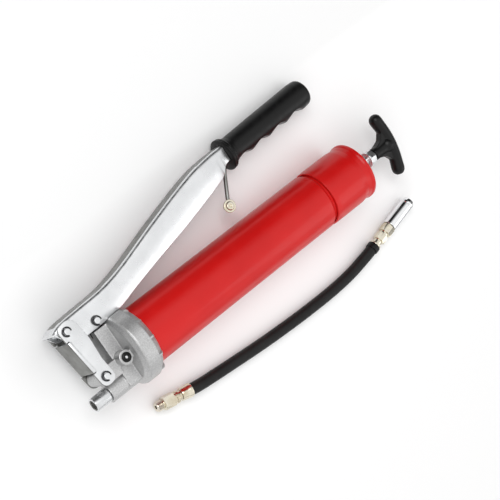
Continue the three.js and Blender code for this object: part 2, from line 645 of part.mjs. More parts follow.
function buildGun() {
  const gun = new THREE.Group();
  buildHead(gun);
  buildBleedValve(gun);
  buildLinkage(gun);
  buildLever(gun);
  buildBarrel(gun);
  buildFollower(gun);
  buildRod(gun);

  // The collar and the rim differ in radius, so the barrel pitches; the grip sets the roll.
  const rimX = CAP_END - 1;
  const slope = (COLLAR_R - RIM_R) / (rimX - COLLAR_TAPER);
  const restX = GRIP_FRONT + GRIP_LENGTH - 9;
  const restY = GRIP_Y + GRIP_SLOPE * (restX - GRIP_FRONT);
  const drop = COLLAR_R - GRIP_BOTTOM_R - slope * (restX - COLLAR_TAPER);
  gun.rotation.set(-Math.asin(drop / restY), Math.atan(slope), 0, 'YXZ');
  return gun;
}

/** Move a group so that its box stands on z = 0 with its middle over the origin. */
function standOnOrigin(group) {
  group.updateMatrixWorld(true);
  const box = new THREE.Box3().setFromObject(group, true);
  const middle = box.getCenter(new THREE.Vector3());
  group.position.set(-middle.x, -middle.y, -box.min.z);
}

// ---------------------------------------------------------------- the hose

/** A group whose X axis runs along a fitting that lies on the bench. */
function lying(at, heading) {
  const group = new THREE.Group();
  group.position.copy(at);
  group.rotation.z = heading;
  return group;
}

const hexBar = (x0, x1, corner) => barX(x0, x1, corner, 6);

/** The fitting that screws into the nozzle: thread, hexagon, collar, and a tail inside the ferrule. */
function hoseFitting() {
  const body = join(
    turned([
      [0, 0], [0, 4.1], [0.9, 5], [6, 5], [6.6, 4.4], [8, 4.4], [8, 5.4], [21, 5.4], [21, 6.1],
      [24.2, 6.1], [24.2, 5], [FERRULE_START - GAP, 5], [FERRULE_START - GAP, 3.2],
      [FITTING_LENGTH - 1, 3.2], [FITTING_LENGTH - 1, 0],
    ], 14),
    hexBar(7.4, 19.5, 6.9),
  );
  return cut(body, barX(-1, FITTING_LENGTH, 1.8, 12));
}

/** Two hexagons and a collar between the hose and the coupler, with a spigot inside the sleeve. */
function couplerAdaptor() {
  const body = join(
    turned([
      [0, 0], [0, 6], [1.8, 6], [1.8, 4.4], [7, 4.4], [7, 5], [ADAPTOR_LENGTH - GAP, 5],
      [ADAPTOR_LENGTH + 4, 5], [ADAPTOR_LENGTH + 4, 0],
    ], 16),
    hexBar(6.6, 14.6, 6.3),
    hexBar(17, ADAPTOR_LENGTH - GAP, 6.9),
  );
  return cut(body, barX(-1, ADAPTOR_LENGTH + 5, 1.8, 12));
}

function couplerSleeve() {
  const [start, end] = [ADAPTOR_LENGTH, COUPLER_LENGTH];
  return turned([
    [start, 5.4], [start, SLEEVE_R - 0.5], [start + 0.5, SLEEVE_R], [end - 7.4, SLEEVE_R],
    [end - 7, SLEEVE_R - 0.3], [end - 6.4, SLEEVE_R - 0.3], [end - 6, SLEEVE_R],
    [end - 4, SLEEVE_R - 0.3], [end - 2, SLEEVE_R - 0.9], [end - 0.6, SLEEVE_R - 1.6],
    [end, SLEEVE_R - 2.1], [end, 4.1], [end - 2.5, 4.1], [end - 3, 5.4], [start, 5.4],
  ], 18);
}

/** One of the three jaws that close behind a nipple's head. */
function couplerJaw(turn) {
  const [start, end] = [COUPLER_LENGTH - 13, COUPLER_LENGTH - 3.2];
  const shell = turned([
    [start, 3.4], [start, 5.1], [end - 0.6, 5.1], [end, 4.5], [end, 3.4], [start, 3.4],
  ], 24);
  const corners = [0, 52, 104].map(THREE.MathUtils.degToRad)
    .map((angle) => [12 * Math.cos(angle), 12 * Math.sin(angle)]);
  const wedge = slab(polygon([[0, 0], ...corners]), start - 1, end + 1).rotateY(Math.PI / 2);
  return common(shell, wedge).rotateX(turn);
}

function buildHose(group) {
  const fitting = lying(FITTING_TIP, FITTING_HEADING);
  const ferrule = turned([
    [FERRULE_START, 3.5], [FERRULE_START, 5.6], [FERRULE_START + 1.5, 6.2],
    [FITTING_LENGTH - 5, 6.4], [FITTING_LENGTH - 2.5, 6.9], [FITTING_LENGTH, 6.9],
    [FITTING_LENGTH, 3.5], [FERRULE_START, 3.5],
  ], 16);
  add(fitting, 'hose_fitting', hoseFitting(), yellowZinc());
  add(fitting, 'hose_ferrule', ferrule, yellowZinc());

  const route = new THREE.CatmullRomCurve3(HOSE_ROUTE.map((point) => new THREE.Vector3(...point)));
  add(group, 'hose_tube', swept(route, HOSE_R, 10, 20), blackRubber());

  const coupler = lying(COUPLER_START, COUPLER_HEADING);
  const end = COUPLER_LENGTH;
  const couplerFerrule = ring(-COUPLER_FERRULE, -GAP, 2, 6.5, 20);
  add(coupler, 'hose_ferrule_coupler', couplerFerrule, blackPlastic());
  add(coupler, 'coupler_adaptor', couplerAdaptor(), yellowZinc());
  add(coupler, 'coupler_sleeve', couplerSleeve(), chrome());
  for (let i = 0; i < 3; i += 1) {
    add(coupler, `coupler_jaw_${i + 1}`, couplerJaw((2 * Math.PI * i) / 3), machined());
  }
  add(coupler, 'coupler_seal', ring(end - 17, end - 13.3, 1.5, 5, 16), nitrile());
  const spring = coil(ADAPTOR_LENGTH + 4.3, end - 17.3, 4, 0.5, 5);
  add(coupler, 'coupler_spring', spring, springSteel());
  group.add(fitting, coupler);
}

const greaseGun = new THREE.Group();
const gun = buildGun();
standOnOrigin(gun);
greaseGun.add(gun);
buildHose(greaseGun);

export default greaseGun;
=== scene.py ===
"""A lever grease gun and its delivery hose, lying on a pale bench.

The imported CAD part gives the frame, the bodies and the nodes. This script repeats its sizes and gives it
its looks: finer meshes for most pieces, a procedural material for each, a floor, soft light and a camera.
Pieces of the gun are drawn in millimetres in the gun's own frame, as the CAD does: X runs back along
the barrel from the collar's rear edge, Y points to the lever and Z is square to both.
"""

import json
import math

import bmesh
import bpy
from mathutils import Matrix, Vector

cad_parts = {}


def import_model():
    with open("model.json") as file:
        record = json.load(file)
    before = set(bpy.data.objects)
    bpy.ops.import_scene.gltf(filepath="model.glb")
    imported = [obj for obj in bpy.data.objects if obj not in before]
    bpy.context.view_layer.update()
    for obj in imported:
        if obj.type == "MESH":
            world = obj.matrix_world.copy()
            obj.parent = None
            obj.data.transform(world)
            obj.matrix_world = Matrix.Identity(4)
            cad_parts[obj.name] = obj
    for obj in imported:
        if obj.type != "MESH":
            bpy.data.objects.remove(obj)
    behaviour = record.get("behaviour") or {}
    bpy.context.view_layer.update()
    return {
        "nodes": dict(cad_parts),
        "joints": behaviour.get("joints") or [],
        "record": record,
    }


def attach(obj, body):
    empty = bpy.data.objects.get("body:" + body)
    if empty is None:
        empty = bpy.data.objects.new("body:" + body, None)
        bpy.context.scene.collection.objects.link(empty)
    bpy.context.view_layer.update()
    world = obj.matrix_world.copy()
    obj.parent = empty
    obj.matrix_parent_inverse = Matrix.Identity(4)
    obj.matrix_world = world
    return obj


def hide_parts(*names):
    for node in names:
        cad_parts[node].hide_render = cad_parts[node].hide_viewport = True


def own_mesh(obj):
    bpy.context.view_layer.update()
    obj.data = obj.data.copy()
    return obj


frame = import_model()
joints = {joint["name"]: joint for joint in frame["joints"]}
MM = Matrix.Scale(0.001, 4)


# ---------------------------------------------------------------- frames

def frame_from(origin, x_axis, z_axis):
    """A frame drawn in millimetres, from its origin and two of its axes in the row frame."""
    x, z = Vector(x_axis).normalized(), Vector(z_axis).normalized()
    y = z.cross(x)
    turn = Matrix((x, y, z)).transposed().to_4x4()
    return Matrix.Translation(Vector(origin)) @ turn @ MM


def lying(at, heading):
    """The frame of a fitting that lies on the bench, with its X axis at a heading in degrees."""
    turn = Matrix.Rotation(math.radians(heading), 4, "Z")
    return Matrix.Translation(Vector(at)) @ turn @ MM


GUN = frame_from(
    joints["barrel_turn"]["pos_m"], joints["barrel_turn"]["axis"], joints["lever_swing"]["axis"]
)
FITTING = lying((-0.145, -0.1059, 0.0069), -11.1)
COUPLER = lying((0.1424, -0.1169, 0.0074), 13.1)


# ---------------------------------------------------------------- the gun's sizes, in millimetres

BARREL_R = 28.5
BARREL_END = 226.5
CAP_START = 231.2
CAP_END = 284.0
CAP_R = 29.1
RIM_R = 29.5
ROD_R = 4.0
STEEL = 2.2
LINK_HALF = 15.2
LEVER_HALF = 12.6
NECK_HALF = 9.6
NARROWING = 138
NECK_LENGTH = 34
HEAD_PIVOT = Vector((-51.2, -5.8, 0))
LEVER_PIVOT = Vector((-58.1, 45.5, 0))
PLUNGER_PIVOT = Vector((-28.5, 37.2, 0))
CATCH_END = Vector((148.2, 45.6, 0))
CATCH_PIVOT = Vector((165.4, 84.2, 0))
PIN_R = 3.0
OUTLET_Y = -21.7

# hose, in metres
HOSE_DIAMETER = 0.0116
HOSE_ROUTE = [
    (-0.1064, -0.1135, 0.0069), (-0.099, -0.1149, 0.0068), (-0.091, -0.1161, 0.0064),
    (-0.080, -0.1174, 0.00605), (-0.058, -0.1196, 0.0059), (-0.030, -0.1222, 0.00585),
    (-0.008, -0.1239, 0.00585), (0.011, -0.125, 0.00585), (0.028, -0.1258, 0.00585),
    (0.046, -0.1263, 0.00585), (0.070, -0.1265, 0.00585), (0.092, -0.1257, 0.0059),
    (0.108, -0.1241, 0.0061), (0.120, -0.1219, 0.0065), (0.129, -0.120, 0.0071),
    (0.1364, -0.1183, 0.00735),
]


# ---------------------------------------------------------------- materials

def node(tree, kind, **inputs):
    """Add a shader node and set its inputs by name."""
    made = tree.nodes.new(kind)
    for name, value in inputs.items():
        made.inputs[name.replace("_", " ")].default_value = value
    return made


def surface(name, color, roughness, metallic=0.0, **extra):
    """A material with a Principled shader. Returns the material, its tree and the shader."""
    material = bpy.data.materials.new(name)
    material.use_nodes = True
    tree = material.node_tree
    shader = tree.nodes["Principled BSDF"]
    settings = {"Base Color": (*color, 1), "Roughness": roughness, "Metallic": metallic, **extra}
    for socket, value in settings.items():
        shader.inputs[socket].default_value = value
    return material, tree, shader


def place_noise(tree, scale, detail=3.0, grain=(1, 1, 1)):
    """Noise over the object's metres, finer along an axis as its scale grows. Returns its output."""
    where = tree.nodes.new("ShaderNodeTexCoord")
    mapping = node(tree, "ShaderNodeMapping", Scale=grain)
    noise = node(tree, "ShaderNodeTexNoise", Scale=scale, Detail=detail)
    tree.links.new(where.outputs["Object"], mapping.inputs["Vector"])
    tree.links.new(mapping.outputs["Vector"], noise.inputs["Vector"])
    return noise.outputs["Fac"]


def vary(tree, shader, socket, factor, low, high):
    """Let a number on the shader follow a factor between two values."""
    ramp = node(tree, "ShaderNodeMapRange", From_Min=0.3, From_Max=0.7, To_Min=low, To_Max=high)
    tree.links.new(factor, ramp.inputs["Value"])
    tree.links.new(ramp.outputs["Result"], shader.inputs[socket])


def tint(tree, shader, factor, *colors):
    """Let the base colour run through evenly spaced colours as a factor goes from 0.3 to 0.7."""
    ramp = tree.nodes.new("ShaderNodeValToRGB")
    stops = ramp.color_ramp.elements
    for _ in colors[2:]:
        stops.new(0.5)
    for i, (stop, color) in enumerate(zip(stops, colors)):
        stop.position = 0.3 + 0.4 * i / (len(colors) - 1)
        stop.color = (*color, 1)
    tree.links.new(factor, ramp.inputs["Fac"])
    tree.links.new(ramp.outputs["Color"], shader.inputs["Base Color"])


def bump(tree, shader, height, depth, strength=1.0):
    """Raise the surface by a height texture, to a depth in metres."""
    relief = node(tree, "ShaderNodeBump", Distance=depth, Strength=strength)
    tree.links.new(height, relief.inputs["Height"])
    tree.links.new(relief.outputs["Normal"], shader.inputs["Normal"])


def red_paint():
    """Glossy stoved paint with a faint orange peel."""
    material, tree, shader = surface(
        "red_paint", (0.62, 0.008, 0.008), 0.32,
        **{"Specular IOR Level": 0.2, "Coat Weight": 0.22, "Coat Roughness": 0.08},
    )
    tint(tree, shader, place_noise(tree, 18), (0.58, 0.006, 0.006), (0.66, 0.010, 0.009))
    vary(tree, shader, "Roughness", place_noise(tree, 70), 0.28, 0.38)
    bump(tree, shader, place_noise(tree, 260, 1.0), 0.00002, 0.3)
    return material


def cast_alloy():
    """Blasted aluminium casting: mottled grey with a fine sandy grain."""
    material, tree, shader = surface("cast_alloy", (0.5, 0.5, 0.5), 0.45, 0.8)
    tint(tree, shader, place_noise(tree, 900, 6), (0.44, 0.44, 0.44), (0.53, 0.53, 0.53),
         (0.62, 0.62, 0.62))
    vary(tree, shader, "Roughness", place_noise(tree, 500), 0.38, 0.52)
    bump(tree, shader, place_noise(tree, 1500, 4), 0.0001, 0.5)
    return material


def plated(name, colors, roughness, grain=(1, 1, 1), depth=0.000006):
    """Bright metal: its colour drifts, and its fine grain is stretched as rolling or turning does."""
    material, tree, shader = surface(name, colors[0], roughness, 1.0)
    tint(tree, shader, place_noise(tree, 60, 3), *colors)
    vary(tree, shader, "Roughness", place_noise(tree, 150), roughness * 0.8, roughness * 1.25)
    bump(tree, shader, place_noise(tree, 900, 3, grain), depth, 0.5)
    return material


def black_plastic():
    """Moulded black plastic with a fine satin grain."""
    material, tree, shader = surface(
        "black_plastic", (0.005, 0.005, 0.005), 0.32, **{"Specular IOR Level": 0.25}
    )
    vary(tree, shader, "Roughness", place_noise(tree, 200), 0.28, 0.42)
    bump(tree, shader, place_noise(tree, 2200, 2), 0.00004, 0.5)
    return material


def black_rubber():
    """Smooth hose cover with the faint marks of its wrapping."""
    material, tree, shader = surface(
        "black_rubber", (0.008, 0.008, 0.008), 0.48, **{"Specular IOR Level": 0.25}
    )
    tint(tree, shader, place_noise(tree, 70), (0.006, 0.006, 0.006), (0.011, 0.011, 0.011))
    vary(tree, shader, "Roughness", place_noise(tree, 240), 0.4, 0.56)
    bump(tree, shader, place_noise(tree, 700, 3, (0.15, 1, 1)), 0.00008, 0.4)
    return material


def soft_nitrile():
    """Dull black seal rubber."""
    material, tree, shader = surface("nitrile", (0.02, 0.019, 0.019), 0.7)
    vary(tree, shader, "Roughness", place_noise(tree, 300), 0.6, 0.8)
    bump(tree, shader, place_noise(tree, 1200, 2), 0.00003, 0.4)
    return material


# how finely the grain repeats along X, Y and Z: drawn out along X by rolling, round it by turning
ROLLED = (0.2, 1, 1)
TURNED = (4, 0.3, 0.3)

MATERIALS = {
    "red_paint": red_paint(),
    "cast_alloy": cast_alloy(),
    "zinc_plate": plated(
        "zinc_plate", [(0.72, 0.73, 0.74), (0.80, 0.81, 0.82)], 0.3, grain=ROLLED
    ),
    "chrome": plated("chrome", [(0.82, 0.83, 0.84), (0.88, 0.88, 0.89)], 0.07, depth=0.000002),
    "machined": plated(
        "machined", [(0.66, 0.67, 0.68), (0.76, 0.77, 0.78)], 0.26, grain=TURNED
    ),
    "dark_steel": plated("dark_steel", [(0.03, 0.03, 0.03), (0.07, 0.07, 0.075)], 0.35),
    # a darker copy of the zinc plating, put on chosen faces as painted shade
    "painted_shade_zinc": plated(
        "painted_shade_zinc", [(0.19, 0.19, 0.18), (0.28, 0.28, 0.27)], 0.38, grain=ROLLED
    ),
    "spring_steel": plated("spring_steel", [(0.35, 0.36, 0.38), (0.5, 0.5, 0.52)], 0.3),
    "yellow_zinc": plated(
        "yellow_zinc", [(0.62, 0.54, 0.40), (0.76, 0.71, 0.58), (0.70, 0.64, 0.56)], 0.2
    ),
    "black_plastic": black_plastic(),
    "black_rubber": black_rubber(),
    "nitrile": soft_nitrile(),
}


def coat(obj, slot):
    """Give an object the material of one of the record's slots."""
    obj.data.materials.clear()
    obj.data.materials.append(MATERIALS[slot])


for part in frame["record"]["subparts"]:
    coat(frame["nodes"][part["node"]], part["material_slot"])


# ---------------------------------------------------------------- mesh building, in millimetres

def add_object(name, bm):
    """A new object from a bmesh, with its faces turned outwards."""
    bmesh.ops.recalc_face_normals(bm, faces=bm.faces)
    mesh = bpy.data.meshes.new(name)
    bm.to_mesh(mesh)
    bm.free()
    obj = bpy.data.objects.new(name, mesh)
    bpy.context.scene.collection.objects.link(obj)
    return obj


def loops_to_mesh(bm, loops, closed=False):
    """Join loops of vertices of equal length with quads, and cap both ends unless closed."""
    pairs = zip(loops, loops[1:] + loops[:1]) if closed else zip(loops, loops[1:])
    for first, second in pairs:
        for i in range(len(first)):
            j = (i + 1) % len(first)
            corners = list(dict.fromkeys((first[i], first[j], second[j], second[i])))
            if len(corners) > 2:
                bm.faces.new(corners)
    if not closed:
        bm.faces.new(loops[0])
        bm.faces.new(loops[-1])


def circle(_, radius, a):
    """The point (y, z) of a round section at an angle, the same at any x."""
    return radius * math.cos(a), radius * math.sin(a)


def lathe(name, outline, sides=96, section=circle):
    """A body about X from a closed outline of (x, radius) points, round unless a section is given."""
    turns = [2 * math.pi * i / sides for i in range(sides)]
    bm = bmesh.new()
    rings = []
    for x, radius in outline:
        if radius < 1e-6:
            rings.append([bm.verts.new((x, 0, 0))] * sides)
        else:
            rings.append([bm.verts.new((x, *section(x, radius, a))) for a in turns])
    loops_to_mesh(bm, rings, closed=True)
    return add_object(name, bm)


def rounded(corners, steps=5):
    """A closed outline whose corners (x, y, radius) are rounded. A radius may be left out."""
    outline = []
    count = len(corners)
    for i, corner in enumerate(corners):
        at = Vector(corner[:2])
        radius = corner[2] if len(corner) > 2 else 0
        before, after = Vector(corners[i - 1][:2]) - at, Vector(corners[(i + 1) % count][:2]) - at
        if radius == 0 or before.length < 1e-6 or after.length < 1e-6:
            outline.append(tuple(at))
            continue
        half = before.angle(after) / 2
        reach = min(radius / math.tan(half), before.length * 0.49, after.length * 0.49)
        start, end = at + before.normalized() * reach, at + after.normalized() * reach
        for step in range(steps + 1):
            t = step / steps
            outline.append(tuple((1 - t) ** 2 * start + 2 * t * (1 - t) * at + t * t * end))
    return outline


def prism(name, outline, z0, z1):
    """A flat outline in the XY plane, given thickness from z0 to z1."""
    bm = bmesh.new()
    loops_to_mesh(bm, [[bm.verts.new((x, y, z)) for x, y in outline] for z in (z0, z1)])
    return add_object(name, bm)


def block(name, low, high):
    """A box between two opposite corners."""
    outline = [(low[0], low[1]), (high[0], low[1]), (high[0], high[1]), (low[0], high[1])]
    return prism(name, outline, low[2], high[2])


def rod(name, start, end, radius, sides=48):
    """A round bar between two points."""
    return sweep(name, [start, end], radius, sides)


def sweep(name, path, radius, sides=24):
    """A round bar along a path of points. The radius is a number or one number for each point."""
    path = [Vector(point) for point in path]
    radii = radius if isinstance(radius, list) else [radius] * len(path)
    bm = bmesh.new()
    loops = []
    side = None
    for i, (at, size) in enumerate(zip(path, radii)):
        along = (path[min(i + 1, len(path) - 1)] - path[max(i - 1, 0)]).normalized()
        side = along.orthogonal() if side is None else side - along * side.dot(along)
        side.normalize()
        up = along.cross(side)
        turns = [2 * math.pi * k / sides for k in range(sides)]
        loops.append([bm.verts.new(at + size * (side * math.cos(a) + up * math.sin(a))) for a in turns])
    loops_to_mesh(bm, loops)
    return add_object(name, bm)


def curved(knots, count):
    """Evenly parted points on a Catmull-Rom curve through the knots."""
    knots = [Vector(knot) for knot in knots]
    ends = [2 * knots[0] - knots[1], *knots, 2 * knots[-1] - knots[-2]]
    points = []
    for i in range(count):
        t = i / (count - 1) * (len(knots) - 1)
        k = min(int(t), len(knots) - 2)
        p, u = ends[k:k + 4], t - k
        points.append(0.5 * (
            2 * p[1] + (p[2] - p[0]) * u + (2 * p[0] - 5 * p[1] + 4 * p[2] - p[3]) * u * u
            + (3 * p[1] - p[0] - 3 * p[2] + p[3]) * u ** 3
        ))
    return points


def apply_modifiers(obj):
    """Put the modified shape into the object's own mesh."""
    graph = bpy.context.evaluated_depsgraph_get()
    mesh = bpy.data.meshes.new_from_object(obj.evaluated_get(graph))
    obj.modifiers.clear()
    obj.data = mesh


def combine(obj, others, operation):
    """Join or cut an object with others by exact booleans. The others are used up."""
    for other in others:
        modifier = obj.modifiers.new("combine", "BOOLEAN")
        modifier.object = other
        modifier.operation = operation
        modifier.solver = "EXACT"
        apply_modifiers(obj)
        bpy.data.objects.remove(other)
    return obj


def join(obj, *others):
    """Fuse other objects into an object."""
    return combine(obj, others, "UNION")


def cut(obj, *others):
    """Take other objects out of an object."""
    return combine(obj, others, "DIFFERENCE")


def common(obj, *others):
    """Keep what an object shares with other objects."""
    return combine(obj, others, "INTERSECT")


def bevel(obj, width, segments=3, angle=35):
    """Round the sharp edges."""
    modifier = obj.modifiers.new("bevel", "BEVEL")
    modifier.width = width
    modifier.segments = segments
    modifier.limit_method = "ANGLE"
    modifier.angle_limit = math.radians(angle)
    modifier.use_clamp_overlap = True
    apply_modifiers(obj)
    return obj


def melt(obj, voxel, rounds, keep=1.0):
    """Fuse overlapping bodies into one skin with soft fillets, as a casting or moulding has."""
    remesh = obj.modifiers.new("skin", "REMESH")
    remesh.mode = "VOXEL"
    remesh.voxel_size = voxel
    smooth = obj.modifiers.new("soften", "SMOOTH")
    smooth.factor = 0.5
    smooth.iterations = rounds
    if keep < 1:
        lighter = obj.modifiers.new("lighter", "DECIMATE")
        lighter.ratio = keep
    apply_modifiers(obj)
    return obj


def together(obj, *others):
    """Put the meshes of several objects into the first one, without fusing them."""
    bm = bmesh.new()
    for one in (obj, *others):
        bm.from_mesh(one.data)
    bm.to_mesh(obj.data)
    bm.free()
    for other in others:
        bpy.data.objects.remove(other)
    return obj


def turned_to(obj, matrix):
    """Move an object's mesh within its drawing."""
    obj.data.transform(matrix)
    return obj


def upright(at):
    """The place of a piece drawn along X that stands along Z, with its origin at a point."""
    return Matrix.Translation(at) @ Matrix.Rotation(-math.pi / 2, 4, "Y")


BODY_OF = {n: body for body, nodes in frame["record"]["behaviour"]["bodies"].items() for n in nodes}
SLOT_OF = {part["node"]: part["material_slot"] for part in frame["record"]["subparts"]}


def stand_for(obj, cad_node, place=GUN, sharp=40, painted_shade=None):
    """Put a finished piece in the row frame, in place of a CAD node, with its body and finish.

    A test picks faces, as drawn, that take a darker zinc than the rest, as painted shade.
    """
    painted_shade_faces = [face.index for face in obj.data.polygons if painted_shade and painted_shade(face)]
    obj.data.transform(place)
    obj.data.shade_smooth()
    obj.data.set_sharp_from_angle(angle=math.radians(sharp))
    coat(obj, SLOT_OF[cad_node])
    # the picked faces take the darker zinc as painted shade
    if painted_shade_faces:
        obj.data.materials.append(MATERIALS["painted_shade_zinc"])
    for index in painted_shade_faces:
        obj.data.polygons[index].material_index = 1
    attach(obj, BODY_OF[cad_node])
    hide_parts(cad_node)
    return obj


def spring(name, cad_node, start, end, radius, wire, turns, place=Matrix()):
    """A helical spring from its fixed end to its loose end."""
    per_turn = 24
    steps = turns * per_turn
    inset = math.copysign(wire, end - start)
    path = []
    for i in range(steps + 1):
        a = 2 * math.pi * i / per_turn
        x = start + inset + (end - start - 2 * inset) * i / steps
        path.append((x, radius * math.cos(a), radius * math.sin(a)))
    obj = stand_for(turned_to(sweep(name, path, wire, sides=10), place), cad_node)
    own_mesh(obj)


# ---------------------------------------------------------------- barrel

def barrel():
    """The painted tube, with the step and groove before its rear cap."""
    inside = BARREL_R - 1.3
    outline = rounded([
        (-14.1, inside), (-14.1, BARREL_R, 0.3), (BARREL_END, BARREL_R, 1.5),
        (BARREL_END + 2.6, BARREL_R - 2, 1.2), (CAP_START + 13, BARREL_R - 2),
        (CAP_START + 13, inside - 1), (BARREL_END - 2, inside - 1), (BARREL_END - 4, inside),
    ])
    stand_for(lathe("barrel_shell", outline, sides=144), "barrel_tube")


def cap():
    """The rear cap: a spun shell with a rolled rim and a recessed end."""
    inner = CAP_R - 1.3
    outline = rounded([
        (CAP_START, inner - 0.6), (CAP_START, CAP_R - 0.3, 1.8), (CAP_START + 5, CAP_R, 4),
        (CAP_END - 15, CAP_R, 6), (CAP_END - 9, CAP_R - 0.8, 3), (CAP_END - 4.5, CAP_R - 0.4, 2),
        (CAP_END - 2.8, RIM_R, 0.8), (CAP_END - 0.2, RIM_R, 0.9), (CAP_END, RIM_R - 2.2, 1.4),
        (CAP_END - 3, RIM_R - 3.4, 1), (CAP_END - 3.1, 7.8), (CAP_END - 4.4, 7.8),
        (CAP_END - 4.4, inner - 1.2, 1), (CAP_END - 8.5, inner - 0.7), (CAP_END - 14, inner),
        (CAP_START + 3, inner),
    ])
    stand_for(lathe("cap_shell", outline, sides=144), "rear_cap")


def guide():
    """The flanged bush that the rod slides in, and the follower's spring in front of it."""
    outline = rounded([
        (CAP_END - 9.4, ROD_R + 0.3), (CAP_END - 9.4, 7.4, 0.4), (CAP_END - 2.7, 7.4),
        (CAP_END - 2.7, 10.5, 0.3), (CAP_END - 0.7, 10.5, 0.8), (CAP_END + 0.4, 8.6, 1),
        (CAP_END + 2.8, 7.4, 0.6), (CAP_END + 2.8, ROD_R + 0.3, 0.3),
    ])
    stand_for(lathe("rod_bush", outline, sides=64), "rod_guide")
    spring(
        "follower_coil", "follower_spring",
        start=CAP_END - 4.7, end=1.2, radius=19.5, wire=1.4, turns=11,
    )


# ---------------------------------------------------------------- rod and T-handle

NUT_X = 305.0
HANDLE_START = 313.2
HANDLE_X = 339.0
HANDLE_R = 6.6


def follower_rod():
    """The follower's rod, with a head and a collar near its inner end."""
    front = -13.0
    outline = rounded([
        (front - 2.5, 0), (front - 2.5, 5.6, 0.6), (front, 6.4, 0.3), (front, ROD_R),
        (front + 13.3, ROD_R), (front + 13.3, 5.6, 0.3), (front + 15.3, 5.6, 0.3),
        (front + 15.3, ROD_R), (HANDLE_START + 12, ROD_R), (HANDLE_START + 12, 0),
    ])
    stand_for(lathe("rod_bar", outline, sides=48), "follower_rod")


def hexagon(name, x0, x1, corner, chamfer=0.8):
    """A hexagon bar along X with chamfered corners, as a nut has."""
    turns = [math.pi / 3 * i for i in range(6)]
    outline = [(corner * math.cos(a), corner * math.sin(a)) for a in turns]
    bar = turned_to(prism(name, outline, x0, x1), Matrix.Rotation(math.pi / 2, 4, "Y"))
    flat = corner * math.cos(math.pi / 6)
    limit = lathe("limit", [
        (x0, 0), (x0, flat - 0.2), (x0 + chamfer * 0.7, corner + 0.05),
        (x1 - chamfer * 0.7, corner + 0.05), (x1, flat - 0.2), (x1, 0),
    ], sides=96)
    return bevel(common(bar, limit), width=0.12, segments=2)


def nut():
    """A washer and a lock nut on the rod, in front of the handle."""
    washer = lathe("washer", rounded([
        (NUT_X - 1.8, 0), (NUT_X - 1.8, 8, 0.4), (NUT_X + 0.3, 8, 0.4), (NUT_X + 0.3, 0),
    ]), sides=64)
    body = join(hexagon("rod_lock_nut", NUT_X, NUT_X + 6.4, 7.4), washer)
    bore = rod("bore", (NUT_X - 5, 0, 0), (NUT_X + 20, 0, 0), ROD_R + 0.2)
    stand_for(cut(body, bore), "rod_nut")


def t_handle():
    """A moulded T: a stem with a gusset on each side, and a bowed cross bar with round ends."""
    reach, bow, steps = 26.6, 5.6, 32
    stem = lathe("t_grip", rounded([
        (HANDLE_START, 0), (HANDLE_START, 6.4, 0.8), (HANDLE_START + 8, 6.1, 3),
        (HANDLE_START + 15, 6.7, 4), (HANDLE_X - 7, 8.4, 3), (HANDLE_X - 1, 5.8, 2), (HANDLE_X - 1, 0),
    ]), sides=64)
    knots = [(HANDLE_X - bow, -reach), (HANDLE_X - 2.4, -12), (HANDLE_X - 1.4, 0),
             (HANDLE_X - 2.4, 12), (HANDLE_X - bow, reach)]
    path = curved([(x, y, 0) for x, y in knots], steps + 1)
    ends = [path[0] + (path[0] - path[1]).normalized() * d for d in (6.6, 6.2, 5, 2.8)]
    tips = [path[-1] + (path[-1] - path[-2]).normalized() * d for d in (2.8, 5, 6.2, 6.6)]
    caps = [HANDLE_R * 0.1, HANDLE_R * 0.42, HANDLE_R * 0.7, HANDLE_R * 0.93]
    waist = 0.06
    radii = [HANDLE_R * (1 - waist * (1 - (2 * i / steps - 1) ** 2)) for i in range(steps + 1)]
    cross = sweep("cross", ends + path + tips, caps + radii + caps[::-1], sides=40)
    bore = rod("bore", (HANDLE_START - 1, 0, 0), (HANDLE_START + 12.3, 0, 0), ROD_R + 0.3)
    gusset = prism("gusset", rounded([
        (HANDLE_START + 3, -5), (HANDLE_X - 13, -8.5, 6), (HANDLE_X - 5, -20), (HANDLE_X, 0),
        (HANDLE_X - 5, 20), (HANDLE_X - 13, 8.5, 6), (HANDLE_START + 3, 5),
    ]), -4, 4)
    body = melt(together(stem, cross, gusset), voxel=0.42, rounds=8, keep=0.5)
    turned_to(body, Matrix.Rotation(math.radians(12), 4, "X"))
    stand_for(cut(body, bore), "t_handle")


# ---------------------------------------------------------------- head

BOSS_FRONT = -53.7
NOZZLE_TIP = -70.5
NOZZLE_R = 6.8
TOWER_TOP = 30.0
LUG_HALF = 12.4
BLEED_AT = Vector((-28.5, -2.4, 0))
BLEED_TOP = 21.5


def casting_rib(turn):
    """One of the small ribs on the collar's taper."""
    rib = prism("rib", [(-9, 30), (-0.6, 30), (-0.8, 33.4), (-2.6, 35.6), (-9, 35.6)], -0.8, 0.8)
    return turned_to(rib, Matrix.Rotation(turn, 4, "X"))


